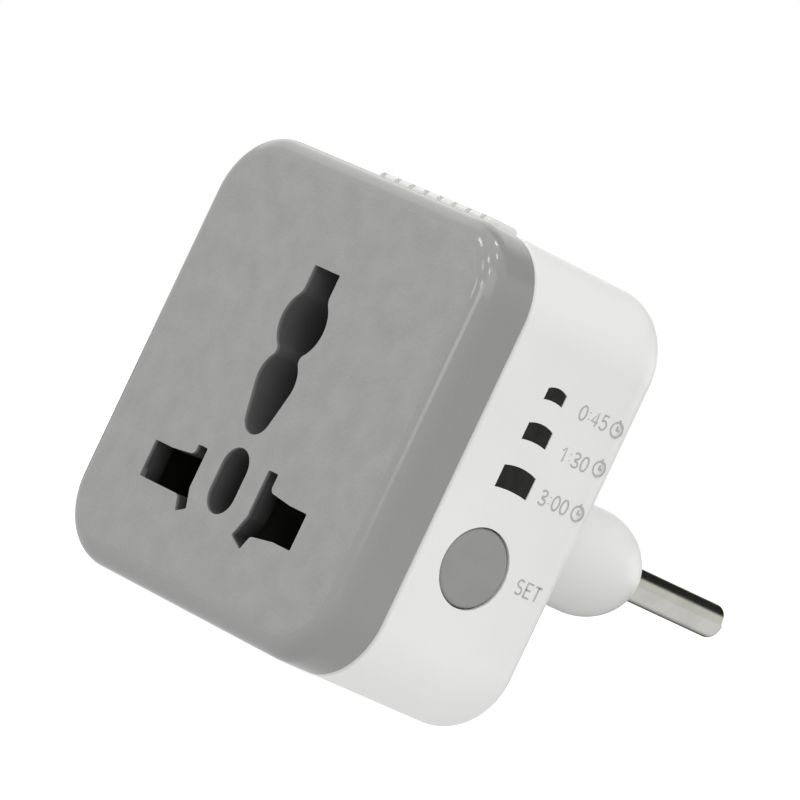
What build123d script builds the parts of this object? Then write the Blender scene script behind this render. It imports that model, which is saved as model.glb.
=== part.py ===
from build123d import *
import os

# Plug-in socket with surge protection and a countdown timer. Sizes are in millimetres.
# X runs right across the face, Y back towards the wall outlet and Z up.
# Pieces are drawn from the middle of the front face: "depth" is Y from the face, and "level" is Z
# from its middle.

# Case
case_width = 51.2
case_height = 51.5
case_depth = 28.9
corner_radius = 8.4
wall = 1.8

# Fits and cuts
seat_clearance = 0.1
slide_clearance = 0.15
touch_gap = 0.05
cut_overrun = 1.0

# Front cover
cover_depth = 7.05
cover_edge_radius = 2.7
seam_bevel = 0.3
face_thickness = 2.0
face_skin = 0.8

# Rear housing
rear_edge_radius = 4.7
lip_thickness = 1.0
lip_reach = 1.6
lip_root = 1.5
vent_count = 8
vent_pitch = 2.65
vent_width = 0.8
vent_length = 3.0
vent_setback = 2.55
vent_panel_rise = 0.9
vent_panel_margin = 1.0
vent_panel_corner_radius = 1.2
vent_panel_bevel = 0.35

# Case screws and their posts
screw_inset = 7.1
screw_radius = 1.3
screw_grip = 5.5
screw_head_radius = 2.1
screw_head_height = 1.7
screw_slot_width = 0.6
screw_slot_depth = 0.7
post_radius = 2.6
post_base_radius = 3.3
post_split_depth = 12.0
counterbore_depth = 6.4
counterbore_ledge = 1.3

# Plug boss
boss_radius = 6.15
boss_length = 13.5
boss_wall = 1.9
boss_root_radius = 1.0
boss_end_wall = 3.0
dome_height = 6.8
dome_flat_radius = 2.4

# Plug pins
pin_radius = 2.0
pin_spacing = 19.0
pin_level = -2.65
pin_exposed = 14.9
pin_tip_radius = 0.6
pin_shank_radius = 2.25
pin_collar_radius = 3.3
pin_collar_thickness = 1.5
pin_tail_radius = 1.6
pin_tail_reach = 3.0
retainer_flange_margin = 1.2
retainer_flange_thickness = 1.1

# Earth opening of the outlet
earth_top = 14.0
earth_width = 4.7
upper_bulb_level = 7.6
upper_bulb_radius = 3.95
lower_bulb_level = 0.9
lower_bulb_radius = 3.4
earth_end_level = -3.2
earth_end_radius = 2.3
bulb_blend_radius = 1.6
waist_blend_radius = 0.85

# Middle opening of the outlet
middle_width = 4.7
middle_length = 7.75
middle_level = -11.1

# Live and neutral openings of the outlet
slot_level = -12.7
slot_reach = 14.65
slot_height = 4.3
flare_start = 11.4
flare_rise = 0.4
bar_inner = 5.6
bar_width = 1.8
live_bar_rise = 4.6
neutral_bar_rise = 3.75
foot_start = 0.9
foot_lean = 1.1
foot_drop = 2.5
foot_neck = 1.9
live_foot_width = 2.5
neutral_foot_width = 1.8
live_foot_length = 2.75
neutral_foot_length = 2.45
slot_corner_radius = 0.2
flare_blend_radius = 0.7

# Contact carrier behind the outlet
carrier_plate = 2.0
tower_wall = 1.4
tower_reach = 23.9
block_wall = 1.75
block_above = 5.8
block_below = 5.7
block_corner_radius = 3.0
block_rear_depth = 19.5
middle_pocket_depth = 14.0
bar_pocket_inner = 4.1
bar_pocket_reach = 4.9
leaf_pocket_margin = 0.75
leaf_pocket_reach = 3.4
contact_retainer_thickness = 1.5
pillar_radius = 1.8
pillar_gap = 0.55

# Outlet contacts
strip_thickness = 0.5
leaf_inner = 8.4
leaf_width = 5.6
leaf_gap = 0.2
leaf_flare = 0.35
leaf_flare_length = 1.6
leaf_front_gap = 0.6
strip_bend_radius = 0.6
contact_tail_width = 2.2
contact_tail_margin = 0.3

# Push button and its switch
control_depth = 15.05
button_level = -8.2
button_hole_radius = 4.62
button_recess = 0.05
button_edge_radius = 0.4
button_flange_margin = 1.1
button_flange_thickness = 1.0
button_stem_radius = 1.5
button_stem_length = 1.05
button_travel = 0.5
switch_side = 6.0
switch_height = 1.9
switch_corner_radius = 0.6
plunger_radius = 1.7
plunger_stand = 0.8
plunger_sunk = 0.5
plunger_bevel = 0.2

# Time windows, from the shortest time to the longest
window_names = ("window_short", "window_medium", "window_long")
window_widths = (2.85, 3.7, 4.85)
window_sides = (1.35, 1.95, 2.55)
window_levels = (11.9, 7.4, 1.95)
window_crown = 0.37
window_sag = 0.2
window_recess = 0.12
window_flange_margin = 0.7
window_flange_thickness = 0.8
shroud_margin = 1.4
shroud_half_width = 3.1
cell_margin = 0.4
led_length = 2.0
led_width = 1.25
led_base_height = 0.5
led_lens_radius = 0.5
led_lens_height = 0.5

# Circuit boards
board_thickness = 1.2
board_stop = 2.7
board_stop_thickness = 1.6
board_post_gap = 0.4
board_corner_radius = 0.8
rib_thickness = 1.2
rib_rise = 2.3
rib_length = 14.0
stop_length = 16.0

# Parts of the timer board
relay_length = 19.5
relay_width = 15.3
relay_height = 10.2
relay_depth = 14.2
relay_level = 4.6
relay_edge_radius = 0.6
chip_length = 8.7
chip_width = 3.9
chip_height = 1.5
chip_rib_gap = 0.3
chip_level = 4.5
chip_bevel = 0.25
chip_leg_count = 7
chip_leg_pitch = 1.15
chip_leg_width = 0.45
chip_leg_reach = 0.8
chip_leg_thickness = 0.25

# Parts of the power board
varistor_radius = 5.0
varistor_thickness = 4.2
varistor_bevel = 0.9
varistor_lift = 1.2
varistor_depth = 11.0
varistor_level = 0.2
varistor_leg_spacing = 5.0
leg_radius = 0.4
fuse_radius = 1.3
fuse_length = 8.0
fuse_lift = 4.0
fuse_depth = 6.6
fuse_level = 0.5
fuse_leg_reach = 1.6
film_length = 13.0
film_width = 6.0
film_height = 11.0
film_depth = 18.5
film_level = 1.0
film_edge_radius = 0.5
can_radius = 3.15
can_height = 10.8
can_depth = 18.0
can_level = 11.0
can_groove_lift = 1.3
can_groove_width = 0.7
can_groove_depth = 0.35
can_bevel = 0.4
bridge_length = 4.8
bridge_width = 4.0
bridge_height = 2.4
bridge_depth = 9.6
bridge_level = 10.4
bridge_bevel = 0.4

# Wiring
lead_radius = 0.7
lead_setback = 2.15
lead_bend_radius = 3.0
supply_lead_level = 9.0
switched_lead_level = -9.5
switched_bend_radius = 1.5
link_width = 3.0
link_thickness = 0.8
link_setback = 0.4
link_level = 12.5

# Places that follow from the sizes above
inner_half_width = case_width / 2 - wall
inner_half_height = case_height / 2 - wall
rear_inner_depth = case_depth - wall
screw_x = case_width / 2 - screw_inset
screw_level = case_height / 2 - screw_inset
head_seat_depth = case_depth - counterbore_depth
dome_depth = case_depth + boss_length
pin_exit_depth = dome_depth + dome_height
total_depth = pin_exit_depth + pin_exposed
boss_pocket_radius = boss_radius - boss_wall
boss_pocket_depth = dome_depth - boss_end_wall
pin_x = pin_spacing / 2
pin_tail_depth = rear_inner_depth - pin_tail_reach
pocket_front_depth = face_skin + carrier_plate
block_half_width = slot_reach + block_wall
retainer_rear_depth = block_rear_depth + contact_retainer_thickness
button_radius = button_hole_radius - slide_clearance
button_stem_x = inner_half_width - slide_clearance - button_flange_thickness - button_stem_length
plunger_x = button_stem_x - touch_gap
switch_x = plunger_x - plunger_stand
board_outer_x = switch_x - switch_height
board_inner_x = board_outer_x - board_thickness
board_front_depth = face_thickness + board_stop
board_rear_depth = rear_inner_depth - seat_clearance
board_half_length = screw_level - post_base_radius - board_post_gap
lens_back_x = inner_half_width - window_flange_thickness
rib_depth = rear_inner_depth - rib_rise
chip_depth = rib_depth - chip_rib_gap - chip_leg_reach - chip_width / 2
pillar_x = pin_x + contact_tail_width / 2 + pillar_gap + pillar_radius
retainer_flange_radius = boss_pocket_radius + retainer_flange_margin
lead_depth = rear_inner_depth - lead_setback
link_depth = rear_inner_depth - link_setback - link_thickness


def bar(outline, start, end):
    """Solid of an outline drawn in X and Z, from one depth to another."""
    return extrude(Plane.XZ.offset(-start) * outline, amount=start - end)


def side_bar(outline, start, end):
    """Solid of an outline drawn in Y and Z, from one X to another."""
    return extrude(Plane.YZ.offset(start) * outline, amount=end - start)


def case_outline(inset=0):
    """Rounded outline of the case, seen from the front."""
    return RectangleRounded(case_width - 2 * inset, case_height - 2 * inset, corner_radius - inset)


def screw_places():
    """The four corners, seen from the front, that hold a case screw."""
    return [Pos(x, level) for x in (-screw_x, screw_x) for level in (-screw_level, screw_level)]


def pin_places():
    """The two plug pins, seen from the front."""
    return [Pos(x, pin_level) for x in (-pin_x, pin_x)]


def twin_outline(radius):
    """Stadium around both plug pins, at a distance from their axes."""
    return Pos(0, pin_level) * SlotCenterToCenter(pin_spacing, 2 * radius)


def box_outline(left, right, low, high):
    """Rectangle between two sides and two levels."""
    return Pos((left + right) / 2, (low + high) / 2) * Rectangle(right - left, high - low)


# Outlet openings

def earth_outline():
    """Earth opening: flat top, two bulbs with a waist between them and a tapering round end."""
    top = box_outline(-earth_width / 2, earth_width / 2, upper_bulb_level, earth_top)
    bulb = Pos(0, upper_bulb_level) * Rot(0, 0, 90) * Circle(upper_bulb_radius)
    upper = top + bulb
    shoulders = upper.vertices().group_by(Axis.Y)[-2]
    upper = fillet(shoulders, bulb_blend_radius)
    lower_bulb = Pos(0, lower_bulb_level) * Circle(lower_bulb_radius)
    end = Pos(0, earth_end_level) * Circle(earth_end_radius)
    outline = upper + make_hull(lower_bulb.edges() + end.edges())
    between = outline.vertices().filter_by_position(Axis.Y, lower_bulb_level, upper_bulb_level)
    waist = between.sort_by(lambda vertex: abs(vertex.X))[:2]
    return fillet(waist, waist_blend_radius)


def middle_outline():
    """Upright round-ended opening between live and neutral."""
    return Pos(0, middle_level) * Rot(0, 0, 90) * SlotOverall(middle_length, middle_width)


def blade_outline(side, bar_rise, foot_width, foot_length):
    """Flat slot that flares into an upright bar with a foot leaning to the middle."""
    half = slot_height / 2
    down = Vector(-foot_lean, -foot_drop).normalized()
    across = Vector(foot_drop, -foot_lean).normalized()
    knee = Vector(bar_inner, -foot_start)
    toe = knee + down * foot_length
    heel = toe + across * foot_width
    ankle = heel - down * foot_neck
    flare_top = Vector(bar_inner + bar_width, half + flare_rise)
    corners = [
        Vector(slot_reach, half),
        Vector(flare_start, half),
        flare_top,
        Vector(bar_inner + bar_width, bar_rise),
        Vector(bar_inner, bar_rise),
        knee,
        toe,
        heel,
        ankle,
        Vector(flare_start, -half),
        Vector(slot_reach, -half),
    ]
    points = [(side * c.X, slot_level + c.Y) for c in corners]
    outline = make_face(Polyline(*points, close=True))
    bends = [(side * c.X, slot_level + c.Y) for c in (flare_top, ankle)]
    inner = [v for v in outline.vertices() if min(abs(v.X - x) + abs(v.Y - y) for x, y in bends) < touch_gap]
    outline = fillet(inner, flare_blend_radius)
    sharp = [v for v in outline.vertices() if min(abs(v.X - x) + abs(v.Y - y) for x, y in points) < touch_gap]
    return fillet(sharp, slot_corner_radius)


def live_outline():
    return blade_outline(1, live_bar_rise, live_foot_width, live_foot_length)


def neutral_outline():
    return blade_outline(-1, neutral_bar_rise, neutral_foot_width, neutral_foot_length)


def outlet_outlines():
    return [earth_outline(), middle_outline(), live_outline(), neutral_outline()]


def block_outline(grow=0):
    """Lower, wide part of the contact carrier, round at its bottom corners."""
    edge = block_half_width + grow
    outline = box_outline(-edge, edge, slot_level - block_below - grow, slot_level + block_above + grow)
    return fillet(outline.vertices().group_by(Axis.Y)[0], block_corner_radius)


def tower_outline(grow=0):
    """Upper, narrow part of the contact carrier, around the earth opening."""
    edge = upper_bulb_radius + tower_wall + grow
    return box_outline(-edge, edge, slot_level, earth_top + tower_wall + grow)


# Case

def front_cover():
    """Tray with the outlet openings, screw posts and stops for the boards."""
    shell = bar(case_outline(), 0, cover_depth)
    shell = fillet(shell.faces().sort_by(Axis.Y)[0].edges(), cover_edge_radius)
    shell = chamfer(shell.faces().sort_by(Axis.Y)[-1].edges(), seam_bevel)
    hollow = bar(case_outline(wall), face_thickness, cover_depth + cut_overrun)
    shell -= chamfer(hollow.faces().sort_by(Axis.Y)[0].edges(), cover_edge_radius - wall)
    for place in screw_places():
        shell += bar(place * Circle(post_radius), face_skin, post_split_depth - touch_gap)
        shell -= bar(place * Circle(screw_radius), face_thickness, post_split_depth + cut_overrun)
    board_middle = (board_inner_x + board_outer_x) / 2
    for x in (-board_middle, board_middle):
        stop = Pos(x, 0) * Rectangle(board_stop_thickness, stop_length)
        shell += bar(stop, face_skin, board_front_depth - seat_clearance)
    recess = block_outline(seat_clearance) + tower_outline(seat_clearance)
    shell -= bar(recess, face_skin, face_thickness + cut_overrun)
    for outline in outlet_outlines():
        shell -= bar(outline, -cut_overrun, face_thickness + cut_overrun)
    return shell


def dome_profile():
    """Half section of the boss end: radius along X, height along Y."""
    side = TangentArc((boss_radius, 0), (dome_flat_radius, dome_height), tangent=(0, 1))
    rest = Polyline((dome_flat_radius, dome_height), (0, dome_height), (0, 0), (boss_radius, 0))
    return make_face([side, rest])


def plug_boss():
    """Solid plug boss: a stadium that closes in a dome around both pins."""
    boss = bar(twin_outline(boss_radius), rear_inner_depth, dome_depth)
    profile = dome_profile()
    for x in (-pin_x, pin_x):
        axis = Axis((x, 0, pin_level), (0, 1, 0))
        boss += revolve(Pos(x, dome_depth, pin_level) * profile, axis)
    ridge = Plane(origin=(pin_x, dome_depth, pin_level), x_dir=(0, 0, 1), z_dir=(-1, 0, 0))
    return boss + extrude(ridge * (profile + mirror(profile, Plane.YZ)), amount=pin_spacing)


def housing_shell():
    """Open-fronted white shell with the plug boss and the joining lip, hollowed out."""
    shell = bar(case_outline(), cover_depth, case_depth)
    shell = fillet(shell.faces().sort_by(Axis.Y)[-1].edges(), rear_edge_radius)
    shell = chamfer(shell.faces().sort_by(Axis.Y)[0].edges(), seam_bevel)
    shell += plug_boss()
    flats = shell.faces().filter_by(Plane.XZ)
    rear_face = flats.filter_by_position(Axis.Y, case_depth - touch_gap, case_depth + touch_gap)[0]
    shell = fillet(rear_face.inner_wires()[0].edges(), boss_root_radius)
    hollow = bar(case_outline(wall), cover_depth - cut_overrun, rear_inner_depth)
    shell -= chamfer(hollow.faces().sort_by(Axis.Y)[-1].edges(), rear_edge_radius - wall)
    tongue = case_outline(wall + seat_clearance) - case_outline(wall + lip_thickness)
    root = case_outline(wall / 2) - case_outline(wall + lip_thickness)
    shell += bar(tongue, cover_depth - lip_reach, cover_depth + lip_root)
    return shell + bar(root, cover_depth + seam_bevel, cover_depth + lip_root)


def vents():
    """Row of slots across the top, in X and Y."""
    middle = cover_depth + vent_setback + vent_length / 2
    slots = GridLocations(vent_pitch, 0, vent_count, 1) * Rectangle(vent_width, vent_length)
    return Pos(0, middle) * (Sketch() + slots)


def vent_panel():
    """Low raised panel around the vents, rooted in the top wall."""
    size = vents().bounding_box().size
    width, length = size.X + 2 * vent_panel_margin, size.Y + 2 * vent_panel_margin
    outline = Pos(vents().center()) * RectangleRounded(width, length, vent_panel_corner_radius)
    root = Plane.XY.offset(case_height / 2 - wall / 2)
    panel = extrude(root * outline, amount=wall / 2 + vent_panel_rise)
    return chamfer(panel.faces().sort_by(Axis.Z)[-1].edges(), vent_panel_bevel)


def window_outline(width, side, margin=0):
    """Time window: straight sides, a crowned top and a bottom that follows the crown."""
    half = width / 2 + margin
    low = -side / 2 - margin
    high = side / 2 + margin
    bottom = ThreePointArc((-half, low), (0, low + window_sag), (half, low))
    top = ThreePointArc((half, high), (0, high + window_crown), (-half, high))
    return make_face([bottom, Line(bottom @ 1, top @ 0), top, Line(top @ 1, bottom @ 0)])


def windows():
    """Width, side height and place of each time window, in Y and Z."""
    rows = zip(window_widths, window_sides, window_levels)
    return [(width, side, Pos(control_depth, level)) for width, side, level in rows]


def rear_housing():
    """White shell with screw posts, board ribs, vents and the openings of the side controls."""
    shell = housing_shell()
    for place in screw_places():
        shell += bar(place * Circle(post_radius), post_split_depth, rear_inner_depth)
        shell += bar(place * Circle(post_base_radius), head_seat_depth - counterbore_ledge, rear_inner_depth)
        shell -= bar(place * Circle(screw_radius + seat_clearance), cover_depth, case_depth)
        counterbore = place * Circle(screw_head_radius + seat_clearance)
        shell -= bar(counterbore, head_seat_depth, case_depth + cut_overrun)
    shell -= bar(twin_outline(boss_pocket_radius), retainer_rear_depth, boss_pocket_depth)
    for place in pin_places():
        shell -= bar(place * Circle(pin_shank_radius + touch_gap), case_depth, pin_exit_depth + cut_overrun)
    for x in (-board_inner_x + seat_clearance, board_outer_x + seat_clearance):
        for offset in (0, -board_thickness - 2 * seat_clearance - rib_thickness):
            rib = box_outline(x + offset, x + offset + rib_thickness, -rib_length / 2, rib_length / 2)
            shell += bar(rib, rib_depth, rear_inner_depth + wall / 2)
    shell -= bar(twin_outline(retainer_flange_radius + seat_clearance), rib_depth, rear_inner_depth)
    for x in (-pillar_x, pillar_x):
        pillar = Pos(x, slot_level) * Circle(pillar_radius)
        shell += bar(pillar, retainer_rear_depth, rear_inner_depth + wall / 2)
    outer_x = case_width / 2 + cut_overrun
    for width, side, place in windows():
        shell -= side_bar(place * window_outline(width, side), inner_half_width - cut_overrun, outer_x)
    button_place = Pos(control_depth, button_level)
    shell -= side_bar(button_place * Circle(button_hole_radius), inner_half_width - cut_overrun, outer_x)
    shell += vent_panel()
    roof = Plane.XY.offset(inner_half_height - cut_overrun)
    shell -= extrude(roof * vents(), amount=wall + vent_panel_rise + 2 * cut_overrun)
    notches = Pos(0, -vent_panel_margin - cut_overrun) * vents()
    roof_top = Plane.XY.offset(case_height / 2)
    return shell - extrude(roof_top * notches, amount=vent_panel_rise + cut_overrun)


def housing_screws():
    """Slotted pan-head screws from the back into the posts of the cover."""
    screws = []
    for place in screw_places():
        shank = bar(place * Circle(screw_radius - touch_gap), post_split_depth - screw_grip, head_seat_depth)
        head = bar(place * Circle(screw_head_radius), head_seat_depth, head_seat_depth + screw_head_height)
        head = chamfer(head.faces().sort_by(Axis.Y)[-1].edges(), screw_head_height / 3)
        slot = place * Rectangle(2 * screw_head_radius, screw_slot_width)
        head_top = head_seat_depth + screw_head_height
        screws.append(shank + head - bar(slot, head_top - screw_slot_depth, head_top + cut_overrun))
    return Compound(screws)


# Outlet contacts and their carrier

def socket_insert():
    """Black carrier: pockets for the contacts behind the outlet openings."""
    carrier = bar(block_outline(), face_skin, block_rear_depth)
    tower_floor = tower_reach - tower_wall
    carrier += bar(tower_outline(), face_skin, tower_reach)
    carrier -= bar(box_outline(-slot_reach, slot_reach, slot_level, slot_level + block_above),
                   block_rear_depth, tower_reach + cut_overrun)
    carrier -= bar(earth_outline(), 0, tower_floor)
    carrier -= bar(middle_outline(), 0, middle_pocket_depth)
    for side, outline in ((1, live_outline()), (-1, neutral_outline())):
        carrier -= bar(outline, 0, block_rear_depth)
        inner, joint, outer = bar_pocket_inner, leaf_inner, slot_reach + leaf_pocket_margin
        bars = box_outline(inner, joint, slot_level - bar_pocket_reach, slot_level + bar_pocket_reach)
        leaves = box_outline(inner, outer, slot_level - leaf_pocket_reach, slot_level + leaf_pocket_reach)
        pocket = bars + leaves
        if side < 0:
            pocket = mirror(pocket, Plane.YZ)
        carrier -= bar(pocket, pocket_front_depth, block_rear_depth + cut_overrun)
    return carrier


def contact_retainer():
    """Plate that closes the pockets and lets the contact tails through."""
    plate = bar(block_outline(), block_rear_depth, retainer_rear_depth)
    slot_half = contact_tail_width / 2 + seat_clearance
    slot_rise = strip_thickness / 2 + seat_clearance
    for x in (-pin_x, pin_x):
        slot = box_outline(x - slot_half, x + slot_half, slot_level - slot_rise, slot_level + slot_rise)
        plate -= bar(slot, block_rear_depth - cut_overrun, retainer_rear_depth + cut_overrun)
    return plate


def outlet_contact(side):
    """Brass clip: two leaves about the flat pin, a bridge behind it and a soldering tail."""
    leaf = slot_height / 2 + leaf_gap + strip_thickness / 2
    front = pocket_front_depth + leaf_front_gap
    bridge = block_rear_depth - strip_thickness / 2
    upper = [(front, leaf + leaf_flare), (front + leaf_flare_length, leaf), (bridge, leaf)]
    lower = [(depth, -level) for depth, level in reversed(upper)]
    strip = trace(FilletPolyline(*upper, *lower, radius=strip_bend_radius), strip_thickness)
    near, far = side * leaf_inner, side * (leaf_inner + leaf_width)
    clip = side_bar(Pos(0, slot_level) * strip, near, far)
    half = contact_tail_width / 2
    tail_end = lead_depth + lead_radius + contact_tail_margin
    tail_low, tail_high = slot_level - strip_thickness / 2, slot_level + strip_thickness / 2
    tail = box_outline(side * pin_x - half, side * pin_x + half, tail_low, tail_high)
    return clip + bar(tail, bridge, tail_end)


# Plug pins

def plug_pin(place):
    """Turned pin: free end, shank in the boss, collar and soldering tail."""
    pin = bar(place * Circle(pin_radius), pin_exit_depth, total_depth)
    pin = fillet(pin.faces().sort_by(Axis.Y)[-1].edges(), pin_tip_radius)
    pin += bar(place * Circle(pin_shank_radius), boss_pocket_depth, pin_exit_depth)
    collar_front = boss_pocket_depth - pin_collar_thickness
    pin += bar(place * Circle(pin_collar_radius), collar_front, boss_pocket_depth)
    return pin + bar(place * Circle(pin_tail_radius), pin_tail_depth, collar_front)


def pin_retainer():
    """Moulded plug that fills the boss and presses the pin collars to its end."""
    flange = twin_outline(retainer_flange_radius)
    plug = bar(flange, rear_inner_depth - retainer_flange_thickness, rear_inner_depth)
    plug_end = boss_pocket_depth - pin_collar_thickness
    plug += bar(twin_outline(boss_pocket_radius - seat_clearance), rear_inner_depth, plug_end)
    for place in pin_places():
        plug -= bar(place * Circle(pin_tail_radius + touch_gap), pin_tail_depth, plug_end + cut_overrun)
    return plug


# Side controls

def set_button():
    """Push button: flat cap with a rounded edge, a flange behind the wall and a stem."""
    place = Pos(control_depth, button_level)
    flange_outer = inner_half_width - slide_clearance
    flange_inner = flange_outer - button_flange_thickness
    cap = side_bar(place * Circle(button_radius), flange_inner, case_width / 2 - button_recess)
    cap = fillet(cap.faces().sort_by(Axis.X)[-1].edges(), button_edge_radius)
    cap += side_bar(place * Circle(button_hole_radius + button_flange_margin), flange_inner, flange_outer)
    return cap + side_bar(place * Circle(button_stem_radius), button_stem_x, flange_inner)


def tact_switch_body():
    """Low switch on the timer board with a well for its plunger."""
    place = Pos(control_depth, button_level)
    outline = RectangleRounded(switch_side, switch_side, switch_corner_radius)
    body = side_bar(place * outline, board_outer_x, switch_x)
    well_bottom = switch_x - plunger_sunk - button_travel - slide_clearance
    well = place * Circle(plunger_radius + slide_clearance)
    return body - side_bar(well, well_bottom, switch_x + cut_overrun)


def tact_switch_plunger():
    """Round plunger that stands out of the switch."""
    place = Pos(control_depth, button_level)
    plunger = side_bar(place * Circle(plunger_radius), switch_x - plunger_sunk, plunger_x)
    return chamfer(plunger.faces().sort_by(Axis.X)[-1].edges(), plunger_bevel)


def time_window(width, side, place):
    """Dark lens: a plug in the wall's opening and a flange behind the wall."""
    outer = case_width / 2 - window_recess
    lens = side_bar(place * window_outline(width, side, -touch_gap), lens_back_x, outer)
    flange_size = (width + 2 * window_flange_margin, side + 2 * window_flange_margin)
    return lens + side_bar(place * Rectangle(*flange_size), lens_back_x, inner_half_width)


def light_shroud():
    """Block between the timer board and the lenses, with one cell for each lamp."""
    low = window_levels[-1] - window_sides[-1] / 2 - shroud_margin
    high = window_levels[0] + window_sides[0] / 2 + shroud_margin
    left, right = control_depth - shroud_half_width, control_depth + shroud_half_width
    front = lens_back_x - touch_gap
    block = side_bar(box_outline(left, right, low, high), board_outer_x, front)
    for width, side, place in windows():
        cell = place * Rectangle(width + cell_margin, side + cell_margin)
        block -= side_bar(cell, board_outer_x - cut_overrun, front + cut_overrun)
    return block


def indicator_leds():
    """One flat lamp with a small lens in each cell of the shroud."""
    leds = []
    base_x = board_outer_x + led_base_height
    for width, side, place in windows():
        base = side_bar(place * Rectangle(led_length, led_width), board_outer_x, base_x)
        leds.append(base + side_bar(place * Circle(led_lens_radius), base_x, base_x + led_lens_height))
    return Compound(leds)


# Circuit boards and what they carry

def circuit_board(side):
    """Board along a side wall, between the stops of the cover and the ribs of the housing."""
    length = board_rear_depth - board_front_depth
    place = Pos((board_front_depth + board_rear_depth) / 2, 0)
    outline = RectangleRounded(length, 2 * board_half_length, board_corner_radius)
    return side_bar(place * outline, side * board_inner_x, side * board_outer_x)


def on_board(side, outline, depth, level, height, lift=0):
    """Solid that stands on the inner face of a board, towards the middle of the case."""
    foot = side * (board_inner_x - lift)
    return side_bar(Pos(depth, level) * outline, foot, foot - side * height)


def relay():
    body = on_board(1, Rectangle(relay_width, relay_length), relay_depth, relay_level, relay_height)
    return fillet(body.faces().sort_by(Axis.X)[0].edges() + body.edges().filter_by(Axis.X), relay_edge_radius)


def controller_chip():
    """Chip on the outer face of the timer board, with a row of legs along each side."""
    top = board_outer_x + chip_leg_thickness + chip_height
    place = Pos(chip_depth, chip_level)
    body = side_bar(place * Rectangle(chip_width, chip_length), board_outer_x + chip_leg_thickness, top)
    chip = chamfer(body.faces().sort_by(Axis.X)[-1].edges(), chip_bevel)
    leg = Rectangle(chip_width + 2 * chip_leg_reach, chip_leg_width)
    legs = Sketch() + GridLocations(0, chip_leg_pitch, 1, chip_leg_count) * leg
    return chip + side_bar(place * legs, board_outer_x, board_outer_x + chip_leg_thickness)


def surge_varistor():
    """Coated disc that stands on two legs."""
    centre_x = -board_inner_x + varistor_lift + varistor_radius
    front, rear = varistor_depth - varistor_thickness / 2, varistor_depth + varistor_thickness / 2
    disc = bar(Pos(centre_x, varistor_level) * Circle(varistor_radius), front, rear)
    disc = chamfer(disc.edges().filter_by(GeomType.CIRCLE), varistor_bevel)
    for offset in (-varistor_leg_spacing / 2, varistor_leg_spacing / 2):
        level = varistor_level + offset
        disc += on_board(-1, Circle(leg_radius), varistor_depth, level, varistor_lift + varistor_radius)
    return disc


def thermal_fuse():
    """Small barrel in front of the varistor, on two bent legs."""
    x = -board_inner_x + fuse_lift
    barrel = Plane.XY.offset(fuse_level - fuse_length / 2) * Pos(x, fuse_depth) * Circle(fuse_radius)
    fuse = extrude(barrel, amount=fuse_length)
    fuse = chamfer(fuse.edges().filter_by(GeomType.CIRCLE), fuse_radius / 2)
    reach = fuse_length / 2 + fuse_leg_reach
    low, high = fuse_level - reach, fuse_level + reach
    corners = [(-board_inner_x, low), (x, low), (x, high), (-board_inner_x, high)]
    path = Polyline(*[(corner_x, fuse_depth, level) for corner_x, level in corners])
    section = Plane(origin=path @ 0, z_dir=path % 0) * Circle(leg_radius)
    return fuse + sweep(section, path=path, transition=Transition.RIGHT)


def dropper_capacitor():
    body = on_board(-1, Rectangle(film_width, film_length), film_depth, film_level, film_height)
    return fillet(body.faces().sort_by(Axis.X)[-1].edges() + body.edges().filter_by(Axis.X), film_edge_radius)


def smoothing_capacitor():
    """Round can with a crimp groove near its foot."""
    can = on_board(-1, Circle(can_radius), can_depth, can_level, can_height)
    can = chamfer(can.faces().sort_by(Axis.X)[-1].edges(), can_bevel)
    ring = Circle(can_radius) - Circle(can_radius - can_groove_depth)
    return can - on_board(-1, ring, can_depth, can_level, can_groove_width, can_groove_lift)


def bridge_rectifier():
    body = on_board(-1, Rectangle(bridge_width, bridge_length), bridge_depth, bridge_level, bridge_height)
    return chamfer(body.faces().sort_by(Axis.X)[-1].edges(), bridge_bevel)


# Wiring

def wire(route, radius, bend_radius):
    """Round wire along straight runs with rounded bends."""
    path = FilletPolyline(*route, radius=bend_radius)
    return sweep(Plane(origin=path @ 0, z_dir=path % 0) * Circle(radius), path=path)


def supply_lead(side):
    """From the top of a plug pin's tail up and across to a board."""
    start = pin_level + pin_tail_radius + touch_gap
    corner = (side * pin_x, lead_depth, supply_lead_level)
    route = [(side * pin_x, lead_depth, start), corner, (side * board_inner_x, lead_depth, supply_lead_level)]
    return wire(route, lead_radius, lead_bend_radius)


def switched_lead():
    """From the timer board across and down to the tail of the live contact."""
    end = slot_level + strip_thickness / 2
    corner = (pin_x, lead_depth, switched_lead_level)
    route = [(board_inner_x, lead_depth, switched_lead_level), corner, (pin_x, lead_depth, end)]
    return wire(route, lead_radius, switched_bend_radius)


def neutral_lead():
    """Straight down from the neutral pin's tail to the tail of the neutral contact."""
    top = pin_level - pin_tail_radius - touch_gap
    bottom = slot_level + strip_thickness / 2
    section = Pos(-pin_x, lead_depth) * Circle(lead_radius)
    return extrude(Plane.XY.offset(bottom) * section, amount=top - bottom)


def board_link():
    """Flat cable between the two boards, behind the earth tower."""
    low, high = link_level - link_width / 2, link_level + link_width / 2
    cable = box_outline(link_depth, link_depth + link_thickness, low, high)
    return side_bar(cable, -board_inner_x, board_inner_x)


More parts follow.
